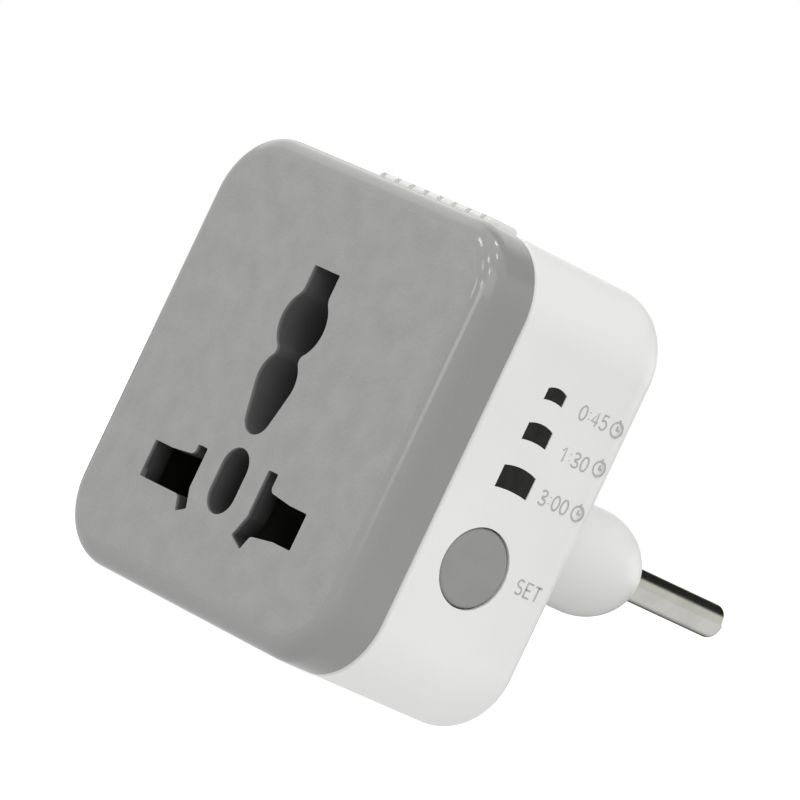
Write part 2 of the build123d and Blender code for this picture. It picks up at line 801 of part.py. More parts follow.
nodes = {
    "front_cover": front_cover(),
    "rear_housing": rear_housing(),
    "housing_screws": housing_screws(),
    "socket_insert": socket_insert(),
    "contact_retainer": contact_retainer(),
    "live_contact": outlet_contact(1),
    "neutral_contact": outlet_contact(-1),
    "live_pin": plug_pin(pin_places()[1]),
    "neutral_pin": plug_pin(pin_places()[0]),
    "pin_retainer": pin_retainer(),
    "set_button": set_button(),
    "tact_switch_body": tact_switch_body(),
    "tact_switch_plunger": tact_switch_plunger(),
    "light_shroud": light_shroud(),
    "indicator_leds": indicator_leds(),
    "timer_board": circuit_board(1),
    "relay": relay(),
    "controller_chip": controller_chip(),
    "power_board": circuit_board(-1),
    "surge_varistor": surge_varistor(),
    "thermal_fuse": thermal_fuse(),
    "dropper_capacitor": dropper_capacitor(),
    "smoothing_capacitor": smoothing_capacitor(),
    "bridge_rectifier": bridge_rectifier(),
    "live_lead": supply_lead(1),
    "surge_lead": supply_lead(-1),
    "switched_lead": switched_lead(),
    "neutral_lead": neutral_lead(),
    "board_link": board_link(),
}
for name, (width, side, place) in zip(window_names, windows()):
    nodes[name] = time_window(width, side, place)

# The finished part stands on its base, with the origin under the middle of its length.
base = Pos(0, -total_depth / 2, case_height / 2)
os.makedirs("parts", exist_ok=True)
for name, solid in nodes.items():
    export_step(base * solid, f"parts/{name}.step")
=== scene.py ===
import math

import bmesh
import bpy
from mathutils import Matrix, Vector


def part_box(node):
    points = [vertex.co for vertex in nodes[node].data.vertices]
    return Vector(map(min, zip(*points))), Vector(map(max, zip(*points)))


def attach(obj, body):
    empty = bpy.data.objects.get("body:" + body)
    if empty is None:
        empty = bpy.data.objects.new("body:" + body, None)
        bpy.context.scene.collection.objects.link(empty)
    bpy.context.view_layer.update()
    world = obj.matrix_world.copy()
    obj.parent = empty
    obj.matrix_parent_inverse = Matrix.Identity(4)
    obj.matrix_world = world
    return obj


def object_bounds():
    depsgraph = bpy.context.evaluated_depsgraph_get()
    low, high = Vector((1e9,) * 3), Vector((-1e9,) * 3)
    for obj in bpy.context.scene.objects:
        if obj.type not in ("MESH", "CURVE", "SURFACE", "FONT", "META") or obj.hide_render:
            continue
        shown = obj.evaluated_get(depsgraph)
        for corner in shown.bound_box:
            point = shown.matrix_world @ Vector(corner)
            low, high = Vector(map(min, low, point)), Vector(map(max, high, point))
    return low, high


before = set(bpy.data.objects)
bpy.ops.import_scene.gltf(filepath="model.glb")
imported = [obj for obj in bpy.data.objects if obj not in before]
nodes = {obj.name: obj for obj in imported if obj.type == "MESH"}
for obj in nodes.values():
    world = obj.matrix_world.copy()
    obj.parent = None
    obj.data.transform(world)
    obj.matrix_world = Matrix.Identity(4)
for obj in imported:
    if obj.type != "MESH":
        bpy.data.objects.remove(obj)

cad_low, cad_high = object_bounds()

mm = 0.001
unit = (1, 1, 1)

# Places on the case, from the frame
cover_low, cover_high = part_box("front_cover")
front_depth = cad_low.y
side_wall = cad_high.x
case_top = cover_high.z
case_middle_height = (cover_low.z + cover_high.z) / 2
front_middle = Vector((0, front_depth, case_middle_height))
carrier_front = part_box("socket_insert")[0].y

# Camera: a long lens, level with the middle of the case and rolled
photo_pixels = 800
focal_pixels = 6635.4
sensor_width = 36
view_azimuth = 50.758
view_elevation = -0.2834
view_roll = 25.3244
camera_distance = 715.03 * mm
camera_reach = 100
aim_right = 13.776 * mm
aim_up = -1.328 * mm

# Prints on the right-hand side, in millimetres: words, the depth where they start, the level that they
# stand on, and the depth and level of the clock mark's middle
times = {
    "print_short": ("0:45", 19.05, 10.97, (24.78, 11.67)),
    "print_medium": ("1:30", 19.05, 6.07, (24.87, 7.1)),
    "print_long": ("3:00", 19.05, 0.97, (24.82, 1.77)),
}
set_print = ("SET", 21.42, -8.75)

# Letters, clock marks and lines of the prints, in millimetres
letter_height = 1.6
letter_width = 0.94
letter_gap = 0.36
colon_width = 0.26
clock_radius = 0.84
clock_hand = 0.42
clock_knob = 0.2
ink_line = 0.23
ink_thickness = 0.03
ink_above_wall = 0.012

# Lines: steps of an arc, the gap under which a line's ends meet, and the limit of a sharp corner's mitre
arc_steps = 14
ring_gap = ink_line / 4
mitre_limit = 0.4

# Colours, as linear shares of the light that they send back
cover_colour = (0.275, 0.275, 0.272)
white_colour = (0.80, 0.80, 0.785)
ink_colour = (0.43, 0.43, 0.42)
carrier_colour = (0.085, 0.088, 0.086)
lens_dark_colour = (0.006, 0.006, 0.005)
lens_pale_colour = (0.014, 0.014, 0.012)
brass_colour = (0.72, 0.52, 0.22)
nickel_colour = (0.76, 0.75, 0.70)
steel_colour = (0.52, 0.52, 0.53)
chip_colour = (0.02, 0.02, 0.021)
plunger_colour = (0.72, 0.72, 0.68)
shroud_colour = (0.74, 0.74, 0.72)
resin_clear_colour = (0.62, 0.66, 0.66)
resin_milky_colour = (0.86, 0.88, 0.86)
mask_colour = (0.012, 0.10, 0.035)
track_colour = (0.02, 0.17, 0.06)
relay_colour = (0.03, 0.10, 0.38)
varistor_colour = (0.03, 0.12, 0.40)
fuse_colour = (0.74, 0.72, 0.66)
film_colour = (0.62, 0.42, 0.06)
can_colour = (0.02, 0.03, 0.05)
brown_colour = (0.16, 0.06, 0.025)
blue_colour = (0.03, 0.09, 0.36)
grey_colour = (0.35, 0.35, 0.35)
floor_dark_colour = (0.5, 0.5, 0.5)
floor_pale_colour = (0.52, 0.52, 0.52)

# Noise: the range that it mostly stays in, and the details that it can have
noise_start = 0.3
noise_end = 0.7
noise_middle = (noise_start + noise_end) / 2
smooth_detail = 1.0
plain_detail = 2.0
fine_detail = 3.0
finest_detail = 4.0

# Front cover: a grained face and a rim that is polished from a small depth on
cover_grain = 0.42 * mm
cover_grain_depth = 0.07 * mm
cover_patch = 3.2 * mm
face_rough = (0.42, 0.58)
face_tone_shares = (0.94, 1.06)
rim_rough = (0.1, 0.14)
rim_tone_shares = (0.985, 1.015)
rim_grain_share = 0.02
polish_start = front_depth + 0.005 * mm
polish_end = front_depth + 0.1 * mm

# Walls of the openings, which lie in the middle of the cover's face, with painted shade that darkens them
# to the carrier's tone and more with depth
opening_reach = 20 * mm
opening_edge = 1 * mm
opening_start = front_depth + 0.03 * mm
opening_end = front_depth + 0.5 * mm
opening_deep = front_depth + 2.6 * mm
guide_wall_shade_shares = (1.5, 0.9)
slot_wall_shade_shares = (1.0, 0.3)

# Dark filled plastic of the contact carrier and of the chips
carrier_grain = 0.5 * mm
carrier_grain_depth = 0.02 * mm
carrier_cloud = 4 * mm
carrier_tone_shares = (0.8, 1.25)
carrier_rough = (0.42, 0.6)

# Contact carrier: painted shade darkens it behind the earth opening, more in the middle opening below it,
# and most in the contact slots beside that
guide_deep = carrier_front + 6.0 * mm
slot_deep = carrier_front + 2.4 * mm
guide_shade_shares = (1.2, 0.5)
slot_shade_shares = (0.8, 0.08)
carrier_clouding = 0.1
slots_start = 4.0 * mm
slots_end = 4.5 * mm
middle_start = case_middle_height - 6.0 * mm
middle_end = case_middle_height - 6.5 * mm
middle_share = 0.5

# Satin plastic of the housing and of the inner mouldings
case_grain = 0.3 * mm
case_grain_depth = 0.008 * mm
case_cloud = 9 * mm
case_tone_shares = (0.985, 1.012)
case_rough = (0.3, 0.4)
housing_sheen = 0.25
housing_sheen_rough = 0.25

# Vent panel: it stands above the case's top, is finely textured and rougher, and painted shade makes it
# greyer
panel_start = case_top + 0.05 * mm
panel_end = case_top + 0.25 * mm
panel_shade_shares = (0.8064, 0.8736)
panel_roughening = 0.2

# Button and lenses
button_grain = 0.35 * mm
button_grain_depth = 0.01 * mm
button_touch = 3 * mm
button_tone_shares = (0.98, 1.05)
button_rough = (0.3, 0.42)
lens_cloud = 1.5 * mm
lens_cloud_depth = 0.004 * mm
lens_rough = (0.12, 0.2)
lens_shine = 0.25

# Metals: tool lines, how far they are drawn out along each axis, and tarnish
tool_line = 0.12 * mm
tool_line_depth = 0.002 * mm
tool_line_rough = (0.0, 0.04)
tarnish_patch = 3 * mm
tarnish_tone_shares = (0.86, 1.0)
tarnish_rough = (0.3, 0.16)
pin_rough = (0.17, 0.11)
contact_stretch = (1, 8, 1)
pin_stretch = (1, 30, 1)
screw_stretch = (4, 1, 4)

# Circuit boards and the components on them
track_size = 2.2 * mm
track_depth = 0.02 * mm
track_start = 0.40
track_end = 0.46
weave_size = 0.25 * mm
board_rough = (0.28, 0.4)
run_size = 1.6 * mm
run_depth = 0.06 * mm
run_stretch = (1, 1, 2)
coating_tone_shares = (0.85, 1.12)
coating_rough = (0.18, 0.3)
core_size = 1.2 * mm
core_depth = 0.01 * mm
resin_rough = (0.05, 0.12)
resin_clearness = 0.6

# Wire sleeves and the ink of the prints
rib_size = 0.4 * mm
rib_depth = 0.015 * mm
rib_stretch = (1, 4, 4)
sleeve_tone_shares = (0.9, 1.08)
sleeve_rough = (0.36, 0.5)
ink_patch = 0.35 * mm
ink_patch_depth = 0.003 * mm
ink_tone_shares = (0.9, 1.15)
ink_rough = (0.45, 0.6)

# Floor: its disc and its paint
floor_radius = 40
floor_segments = 96
floor_cloud = 120 * mm
floor_rough = 0.9
floor_shine = 0.1

# Light of the floor: what is seen of it, what it gives to the object, less behind it, and what shiny
# surfaces mirror of it, less behind the object on the left
white_light = (1, 1, 1, 1)
floor_seen = 0.75
floor_given = 0.86
floor_faded_share = 0.4
floor_fade_start = -10 * mm
floor_fade_end = 40 * mm
floor_mirrored = 0.75
floor_mirrored_behind = 0.1
floor_behind_start = 0.0
floor_behind_end = 15 * mm
floor_left_start = 10 * mm
floor_left_end = -15 * mm

# Surroundings: their light, what shiny surfaces mirror of them, and the dark ceiling behind the object: its
# direction, and where it starts and is darkest, as cosines of the angle from that direction
world_strength = 0.96
sky_mirrored = (0.68, 0.68, 0.645, 1)
ceiling_mirrored = (0.012, 0.012, 0.012, 1)
ceiling_direction = (-0.187, 0.633, 0.752)
ceiling_start = 0.76
ceiling_darkest = 0.88

# Soft lamps: azimuth, elevation, width, height, radiance
lamp_distance = 1.2
soft_lamps = {
    "key_lamp": (-35, 25, 0.9, 0.9, 1.42),
    "left_lamp": (-95, 40, 1.0, 1.0, 0.55),
    "top_lamp": (20, 78, 0.9, 0.9, 0.25),
    "fill_lamp": (50, 30, 0.8, 0.8, 1.0),
    "back_lamp": (175, 14, 0.8, 0.6, 1.2),
}

# Lamps that show only as highlights on shiny surfaces: azimuth, elevation, width, height, radiance
glints = (
    (20, 10.4, 0.34, 0.458, 2.6),
    (-28.1, 42.3, 0.16, 0.16, 9.0),
    (-139.6, 87.6, 0.16, 0.16, 9.0),
    (12.5, 46.7, 0.14, 0.14, 9.0),
    (62.1, 70.0, 0.12, 0.12, 9.0),
    (-3.2, 27.8, 0.14, 0.14, 4.0),
    (30.1, 37.9, 0.12, 0.12, 7.0),
    (-13.1, 8.5, 0.14, 0.2, 4.0),
    (10.8, 17.7, 0.1, 0.1, 6.0),
)

# Lamp that only the front cover mirrors, on its upper right corner: azimuth, elevation, width, height,
# radiance. Its light fades with the distance from its middle, in shares of its width.
corner_lamp = (-141.7, 36.4, 1.5, 1.5, 0.97)
corner_lamp_middle = (0.5, 0.5, 0)
corner_fade_start_share = 0.067
corner_fade_end_share = 0.5


class Look:
    """Nodes of one material, in the frame's metres, with the steps that the looks share."""

    def __init__(self, name, metal=0.0):
        self.material = bpy.data.materials.new(name)
        self.material.use_nodes = True
        self.tree = self.material.node_tree
        self.shader = self.tree.nodes["Principled BSDF"]
        self.shader.inputs["Metallic"].default_value = metal
        self.place = self.add("ShaderNodeTexCoord").outputs["Object"]

    def put(self, socket, value):
        """Give a socket a plain value, or link it to the output of another node."""
        if isinstance(value, bpy.types.NodeSocket):
            self.tree.links.new(value, socket)
        else:
            socket.default_value = value

    def add(self, kind, **inputs):
        """New node, with a value for each input that is named."""
        made = self.tree.nodes.new(kind)
        for name, value in inputs.items():
            self.put(made.inputs[name.replace("_", " ")], value)
        return made

    def finish(self, **inputs):
        """The material, with a value for each input of its shader that is named."""
        for name, value in inputs.items():
            self.put(self.shader.inputs[name.replace("_", " ")], value)
        return self.material

    def scaled(self, size, stretch):
        """Coordinates in which one unit is size, drawn out along each axis by stretch."""
        scale = [1 / (size * along) for along in stretch]
        return self.add("ShaderNodeMapping", Vector=self.place, Scale=scale).outputs["Vector"]

    def noise(self, size, detail=plain_detail, stretch=unit):
        """Cloudy spots about size across."""
        place = self.scaled(size, stretch)
        return self.add("ShaderNodeTexNoise", Vector=place, Scale=1.0, Detail=detail).outputs["Fac"]

    def cells(self, size):
        """Rounded grains about size across."""
        place = self.scaled(size, unit)
        return self.add("ShaderNodeTexVoronoi", Vector=place, Scale=1.0).outputs["Distance"]

    def spread(self, value, low, high, start=noise_start, end=noise_end):
        """A number that goes from low to high while value goes from start to end."""
        limits = {"From Min": start, "From Max": end, "To Min": low, "To Max": high}
        return self.add("ShaderNodeMapRange", Value=value, **limits).outputs["Result"]

    def rise(self, value, start, end):
        """A number that goes from zero to one while value goes from start to end."""
        return self.spread(value, 0.0, 1.0, start, end)

    def colours(self, value, low, high, start=noise_start, end=noise_end):
        """A colour that goes from low to high while value goes from start to end."""
        ramp = self.add("ShaderNodeValToRGB", Fac=value)
        first, last = ramp.color_ramp.elements
        first.position, last.position = start, end
        first.color, last.color = (*low, 1), (*high, 1)
        return ramp.outputs["Color"]

    def tones(self, value, colour, shares, start=noise_start, end=noise_end):
        """A colour that goes from one share of it to another while value goes from start to end."""
        low, high = ([channel * share for channel in colour] for share in shares)
        return self.colours(value, low, high, start, end)

    def blend(self, share, first, second):
        """A colour that goes from first to second while share goes from zero to one."""
        made = self.tree.nodes.new("ShaderNodeMix")
        made.data_type = "RGBA"
        sockets = [socket for socket in made.inputs if socket.type == "RGBA"]
        self.put(made.inputs[0], share)
        self.put(sockets[0], first)
        self.put(sockets[1], second)
        return next(socket for socket in made.outputs if socket.type == "RGBA")

    def operate(self, kind, operation, first, second):
        """The value that a mathematical node makes of two inputs."""
        made = self.tree.nodes.new(kind)
        made.operation = operation
        self.put(made.inputs[0], first)
        self.put(made.inputs[1], second)
        return made.outputs["Value"]

    def math(self, operation, first, second):
        """A number made of two numbers."""
        return self.operate("ShaderNodeMath", operation, first, second)

    def distance(self, point):
        """How far the surface is from a point of the frame."""
        return self.operate("ShaderNodeVectorMath", "DISTANCE", self.place, point)

    def axis(self, letter):
        """The surface's place along one axis of the frame."""
        return self.add("ShaderNodeSeparateXYZ", Vector=self.place).outputs[letter]

    def bump(self, height, depth):
        """Normals of a surface that height raises, by depth where height is one."""
        return self.add("ShaderNodeBump", Height=height, Distance=depth).outputs["Normal"]


def opening_painted_shade(look, guide, slot, guide_shares, slot_shares):
    """Painted shade inside the openings, darker the deeper a point lies in a guide opening and in a slot.

    It is all guide at the earth opening, partly slot at the middle opening and all slot at the slots.
    """
    aside = look.rise(look.math("ABSOLUTE", look.axis("X"), 0.0), slots_start, slots_end)
    below = look.spread(look.axis("Z"), 0.0, middle_share, middle_start, middle_end)
    guide_painted_shade = look.tones(guide, carrier_colour, guide_shares, 0.0, 1.0)
    slot_painted_shade = look.tones(slot, carrier_colour, slot_shares, 0.0, 1.0)
    return look.blend(look.math("MAXIMUM", aside, below), guide_painted_shade, slot_painted_shade)


def cover_plastic():
    """Grey moulded plastic: a finely grained face, a polished rim and painted shade on the walls of the
    openings.
    """
    look = Look("cover_plastic")
    depth = look.axis("Y")
    polished = look.rise(depth, polish_start, polish_end)
    grain = look.noise(cover_grain, fine_detail)
    patches = look.noise(cover_patch, finest_detail)
    dull = look.spread(grain, *face_rough)
    bright = look.spread(patches, *rim_rough)
    rough = look.spread(polished, dull, bright, 0.0, 1.0)
    ridges = look.math("SUBTRACT", grain, noise_middle)
    height = look.math("MULTIPLY", ridges, look.spread(polished, 1.0, rim_grain_share, 0.0, 1.0))
    face_tint = look.tones(patches, cover_colour, face_tone_shares)
    rim_tint = look.tones(grain, cover_colour, rim_tone_shares)
    outer_tint = look.blend(polished, face_tint, rim_tint)
    # Painted shade: the walls of the openings darken to the carrier's tone, and more with depth
    deep = look.rise(depth, opening_start, opening_deep)
    wall_tint = opening_painted_shade(look, deep, deep, guide_wall_shade_shares, slot_wall_shade_shares)
    sunk = look.rise(depth, opening_start, opening_end)
    central = look.rise(look.distance(front_middle), opening_reach + opening_edge, opening_reach)
    tint = look.blend(look.math("MULTIPLY", sunk, central), outer_tint, wall_tint)
    return look.finish(Base_Color=tint, Roughness=rough, Normal=look.bump(height, cover_grain_depth))


def case_plastic(name, colour):
    """Satin moulded plastic with a very fine grain and faint flow clouds."""
    look = Look(name)
    grain = look.noise(case_grain)
    tint = look.tones(look.noise(case_cloud), colour, case_tone_shares)
    rough = look.spread(grain, *case_rough)
    return look.finish(Base_Color=tint, Roughness=rough, Normal=look.bump(grain, case_grain_depth))


def housing_plastic():
    """White satin plastic, rougher on the raised vent panel, where painted shade makes it greyer."""
    look = Look("housing_plastic")
    grain = look.noise(case_grain)
    wall_tint = look.tones(look.noise(case_cloud), white_colour, case_tone_shares)
    panel = look.rise(look.axis("Z"), panel_start, panel_end)
    # Painted shade: the vent panel gets a greyer tone of the white
    panel_painted_shade = look.tones(grain, white_colour, panel_shade_shares)
    roughening = look.math("MULTIPLY", panel, panel_roughening)
    return look.finish(
        Base_Color=look.blend(panel, wall_tint, panel_painted_shade),
        Roughness=look.math("ADD", look.spread(grain, *case_rough), roughening),
        Normal=look.bump(grain, case_grain_depth),
        Sheen_Weight=housing_sheen,
        Sheen_Roughness=housing_sheen_rough,
    )


def button_plastic():
    """Grey key cap, smooth with a soft shine that fingers have polished in patches."""
    look = Look("button_plastic")
    grain = look.noise(button_grain)
    touch = look.noise(button_touch, fine_detail)
    tint = look.tones(touch, cover_colour, button_tone_shares)
    rough = look.spread(touch, *button_rough)
    return look.finish(Base_Color=tint, Roughness=rough, Normal=look.bump(grain, button_grain_depth))


def lens_plastic():
    """Smoked lens: glossy and nearly black, with a trace of depth under the surface."""
    look = Look("lens_plastic")
    clouds = look.noise(lens_cloud)
    tint = look.colours(clouds, lens_dark_colour, lens_pale_colour)
    rough = look.spread(clouds, *lens_rough)
    normal = look.bump(clouds, lens_cloud_depth)
    return look.finish(Base_Color=tint, Roughness=rough, Specular_IOR_Level=lens_shine, Normal=normal)


def filled_plastic(name, colour):
    """Dark filled plastic with a coarse flow grain."""
    look = Look(name)
    grain = look.noise(carrier_grain, finest_detail)
    tint = look.tones(look.noise(carrier_cloud), colour, carrier_tone_shares)
    rough = look.spread(grain, *carrier_rough)
    return look.finish(Base_Color=tint, Roughness=rough, Normal=look.bump(grain, carrier_grain_depth))


def insert_plastic():
    """Dark filled plastic of the contact carrier; painted shade darkens it with depth, most in the contact
    slots.
    """
    look = Look("insert_plastic")
    grain = look.noise(carrier_grain, finest_detail)
    clouds = look.spread(look.noise(carrier_cloud), -carrier_clouding, carrier_clouding)
    depth = look.axis("Y")
    guide = look.math("ADD", clouds, look.rise(depth, carrier_front, guide_deep))
    slot = look.math("ADD", clouds, look.rise(depth, carrier_front, slot_deep))
    # Painted shade: the carrier darkens with depth, most in the contact slots
    tint = opening_painted_shade(look, guide, slot, guide_shade_shares, slot_shade_shares)
    rough = look.spread(grain, *carrier_rough)
    return look.finish(Base_Color=tint, Roughness=rough, Normal=look.bump(grain, carrier_grain_depth))


def turned_metal(name, colour, stretch, rough=tarnish_rough):
    """Bright metal with fine tool lines, drawn out along each axis by stretch, and light tarnish."""
    look = Look(name, metal=1.0)
    lines = look.noise(tool_line, stretch=stretch)
    tarnish = look.noise(tarnish_patch, finest_detail)
    tint = look.tones(tarnish, colour, tarnish_tone_shares)
    roughness = look.math("ADD", look.spread(lines, *tool_line_rough), look.spread(tarnish, *rough))
    return look.finish(Base_Color=tint, Roughness=roughness, Normal=look.bump(lines, tool_line_depth))


def board_laminate():
    """Circuit board: green mask over copper tracks, with a woven ground."""
    look = Look("board_laminate")
    tracks = look.cells(track_size)
    weave = look.noise(weave_size, smooth_detail)
    tint = look.colours(tracks, mask_colour, track_colour, track_start, track_end)
    rough = look.spread(weave, *board_rough)
    return look.finish(Base_Color=tint, Roughness=rough, Normal=look.bump(tracks, track_depth))


def dipped_coating(name, colour):
    """Dipped component coating: glossy, uneven, with small runs."""
    look = Look(name)
    runs = look.noise(run_size, stretch=run_stretch)
    tint = look.tones(runs, colour, coating_tone_shares)
    rough = look.spread(runs, *coating_rough)
    return look.finish(Base_Color=tint, Roughness=rough, Normal=look.bump(runs, run_depth))


def wire_sleeve(name, colour):
    """Extruded wire sleeve, faintly ribbed."""
    look = Look(name)
    ribs = look.noise(rib_size, smooth_detail, rib_stretch)
    tint = look.tones(ribs, colour, sleeve_tone_shares)
    rough = look.spread(ribs, *sleeve_rough)
    return look.finish(Base_Color=tint, Roughness=rough, Normal=look.bump(ribs, rib_depth))


def lamp_resin():
    """Clear lamp body with a milky core."""
    look = Look("lamp_resin")
    core = look.noise(core_size, smooth_detail)
    tint = look.colours(core, resin_clear_colour, resin_milky_colour)
    rough = look.spread(core, *resin_rough)
    normal = look.bump(core, core_depth)
    return look.finish(Base_Color=tint, Roughness=rough, Transmission_Weight=resin_clearness, Normal=normal)


def print_ink():
    """Thin grey pad print, a little patchy."""
    look = Look("print_ink")
    patches = look.noise(ink_patch)
    tint = look.tones(patches, ink_colour, ink_tone_shares)
    rough = look.spread(patches, *ink_rough)
    return look.finish(Base_Color=tint, Roughness=rough, Normal=look.bump(patches, ink_patch_depth))


def floor_paint():
    """Pale glowing studio floor, darker in what shiny surfaces reflect."""
    look = Look("floor_paint")
    depth = look.axis("Y")
    fading = (floor_given, floor_faded_share * floor_given, floor_fade_start, floor_fade_end)
    given = look.add("ShaderNodeEmission", Strength=look.spread(depth, *fading))
    behind = look.rise(depth, floor_behind_start, floor_behind_end)
    left = look.rise(look.axis("X"), floor_left_start, floor_left_end)
    dimming = look.math("MULTIPLY", behind, left)
    dimmed = look.spread(dimming, floor_mirrored, floor_mirrored_behind, 0.0, 1.0)
    mirrored = look.add("ShaderNodeEmission", Strength=dimmed)
    path = look.add("ShaderNodeLightPath")
    sent = look.add("ShaderNodeMixShader", Fac=path.outputs["Is Glossy Ray"])
    look.put(sent.inputs[1], given.outputs["Emission"])
    look.put(sent.inputs[2], mirrored.outputs["Emission"])
    both = look.add("ShaderNodeMixShader", Fac=path.outputs["Is Camera Ray"])
    look.put(both.inputs[1], sent.outputs["Shader"])
    look.put(both.inputs[2], look.shader.outputs["BSDF"])
    look.put(look.tree.nodes["Material Output"].inputs["Surface"], both.outputs["Shader"])
    return look.finish(
        Base_Color=look.colours(look.noise(floor_cloud), floor_dark_colour, floor_pale_colour),
        Roughness=floor_rough,
        Specular_IOR_Level=floor_shine,
        Emission_Color=white_light,
        Emission_Strength=floor_seen,
    )


brass = turned_metal("contact_brass_metal", brass_colour, contact_stretch)
nickel = turned_metal("pin_nickel_metal", nickel_colour, pin_stretch, pin_rough)
chip = filled_plastic("chip_plastic", chip_colour)
lens = lens_plastic()
laminate = board_laminate()
looks = {
    "front_cover": cover_plastic(),
    "rear_housing": housing_plastic(),
    "housing_screws": turned_metal("screw_steel_metal", steel_colour, screw_stretch),
    "socket_insert": insert_plastic(),
    "contact_retainer": filled_plastic("carrier_plastic", carrier_colour),
    "live_contact": brass,
    "neutral_contact": brass,
    "live_pin": nickel,
    "neutral_pin": nickel,
    "pin_retainer": case_plastic("retainer_plastic", white_colour),
    "set_button": button_plastic(),
    "tact_switch_body": chip,
    "tact_switch_plunger": case_plastic("plunger_plastic", plunger_colour),
    "light_shroud": case_plastic("shroud_plastic", shroud_colour),
    "indicator_leds": lamp_resin(),
    "timer_board": laminate,
    "relay": case_plastic("relay_plastic", relay_colour),
    "controller_chip": chip,
    "power_board": laminate,
    "surge_varistor": dipped_coating("varistor_coating", varistor_colour),
    "thermal_fuse": dipped_coating("fuse_glaze", fuse_colour),
    "dropper_capacitor": dipped_coating("film_coating", film_colour),
    "smoothing_capacitor": case_plastic("can_sleeve", can_colour),
    "bridge_rectifier": chip,
    "live_lead": wire_sleeve("brown_sleeve", brown_colour),
    "surge_lead": wire_sleeve("surge_sleeve", brown_colour),
    "switched_lead": wire_sleeve("switched_sleeve", brown_colour),
    "neutral_lead": wire_sleeve("blue_sleeve", blue_colour),
    "board_link": wire_sleeve("grey_sleeve", grey_colour),
    "window_short": lens,
    "window_medium": lens,
    "window_long": lens,
}
for name, look in looks.items():
    nodes[name].material_slots[0].material = look


def on_side(depth, level, out):
    """Point on the right-hand side, from depth, level and height over the wall in millimetres."""
    return Vector((side_wall + out * mm, front_depth + depth * mm, case_middle_height + level * mm))


def arc(middle, radii, start, end):
    """Points of an elliptical arc, from one angle to another in degrees."""
    turns = [math.radians(start + (end - start) * step / arc_steps) for step in range(arc_steps + 1)]
    across, up = radii
    return [(middle[0] + across * math.cos(turn), middle[1] + up * math.sin(turn)) for turn in turns]


# Strokes of each letter in a box one wide and one high
strokes = {
    "0": [arc((0.5, 0.5), (0.5, 0.5), 0, 360)],
    "1": [[(0.15, 0.74), (0.6, 1.0), (0.6, 0.0)]],
    "3": [
        arc((0.45, 0.79), (0.42, 0.21), 160, -90)
        + arc((0.45, 0.5), (0.136, 0.08), 90, 270)[1:-1]
        + arc((0.45, 0.21), (0.5, 0.21), 90, -160)
    ],
    "4": [[(0.74, 0.36), (0.74, 1.0), (0.0, 0.28), (1.0, 0.28)], [(0.74, 0.0), (0.74, 0.2)]],
    "5": [[(0.9, 1.0), (0.18, 1.0), (0.1, 0.54)] + arc((0.46, 0.32), (0.5, 0.32), 128, -150)],
    ":": [[(0.5, 0.24), (0.5, 0.3)], [(0.5, 0.7), (0.5, 0.76)]],
    "S": [arc((0.5, 0.75), (0.45, 0.25), 35, 255) + arc((0.5, 0.25), (0.48, 0.25), 75, -145)],
    "E": [[(1.0, 1.0), (0.1, 1.0), (0.1, 0.0), (1.0, 0.0)], [(0.1, 0.52), (0.85, 0.52)]],
    "T": [[(0.0, 1.0), (1.0, 1.0)], [(0.5, 1.0), (0.5, 0.0)]],
}


def edges(points, closed):
    """The two edges of a line of ink along points, mitred at its corners."""
    points = [Vector(point) for point in points]
    runs = [(after - point).normalized() for point, after in zip(points, points[1:] + points[:1])]
    leaving = [Vector((-run.y, run.x)) for run in runs]
    if not closed:
        leaving[-1] = leaving[-2]
    arriving = [leaving[-1] if closed else leaving[0], *leaving[:-1]]
    left, right = [], []
    for point, before, after in zip(points, arriving, leaving):
        mitre = (before + after) / 2
        mitre *= ink_line / 2 / max(mitre.length_squared, mitre_limit)
        left.append(point + mitre)
        right.append(point - mitre)
    return left, right


def add_line(shape, points):
    """Printed line along points on the side, closed to a ring where its ends meet."""
    closed = math.dist(points[0], points[-1]) < ring_gap
    if closed:
        points = points[:-1]
    left, right = edges(points, closed)
    top = ink_above_wall
    foot = ink_above_wall - ink_thickness
    rails = []
    for edge, out in ((left, top), (right, top), (right, foot), (left, foot)):
        rails.append([shape.verts.new(on_side(*point, out)) for point in edge])
    count = len(points)
    for index in range(count if closed else count - 1):
        following = (index + 1) % count
        for rail, beside in zip(rails, rails[1:] + rails[:1]):
            shape.faces.new((rail[index], rail[following], beside[following], beside[index]))
    if not closed:
        for end in (0, -1):
            shape.faces.new([rail[end] for rail in rails])


def lettering(words, depth, level):
    """Printed words that start at a depth and stand on a level."""
    shape = bmesh.new()
    for letter in words:
        width = colon_width if letter == ":" else letter_width
        for stroke in strokes[letter]:
            add_line(shape, [(depth + x * width, level + y * letter_height) for x, y in stroke])
        depth += width + letter_gap
    return shape


def add_clock(shape, middle):
    """Round clock mark with a knob on top and two hands."""
    depth, level = middle
    add_line(shape, arc(middle, (clock_radius, clock_radius), 0, 360))
    knob_foot = level + clock_radius + ink_line / 2
    add_line(shape, [(depth, knob_foot), (depth, knob_foot + clock_knob)])
    add_line(shape, [(depth, level + clock_hand), middle, (depth + clock_hand, level)])


def new_piece(name, shape, material):
    """Object made of a finished shape, in one material."""
    mesh = bpy.data.meshes.new(name)
    shape.to_mesh(mesh)
    shape.free()
    mesh.materials.append(material)
    piece = bpy.data.objects.new(name, mesh)
    bpy.context.scene.collection.objects.link(piece)
    return piece


def keep_print(name, shape, ink):
    """Printed marks as one piece on the case."""
    bmesh.ops.recalc_face_normals(shape, faces=shape.faces)
    piece = new_piece(name, shape, ink)
    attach(piece, "case")


ink = print_ink()
for name, (words, depth, level, middle) in times.items():
    shape = lettering(words, depth, level)
    add_clock(shape, middle)
    keep_print(name, shape, ink)
keep_print("print_set", lettering(*set_print), ink)


def add_floor():
    """Wide round floor under the object."""
    shape = bmesh.new()
    bmesh.ops.create_circle(shape, cap_ends=True, segments=floor_segments, radius=floor_radius)
    floor = new_piece("floor", shape, floor_paint())


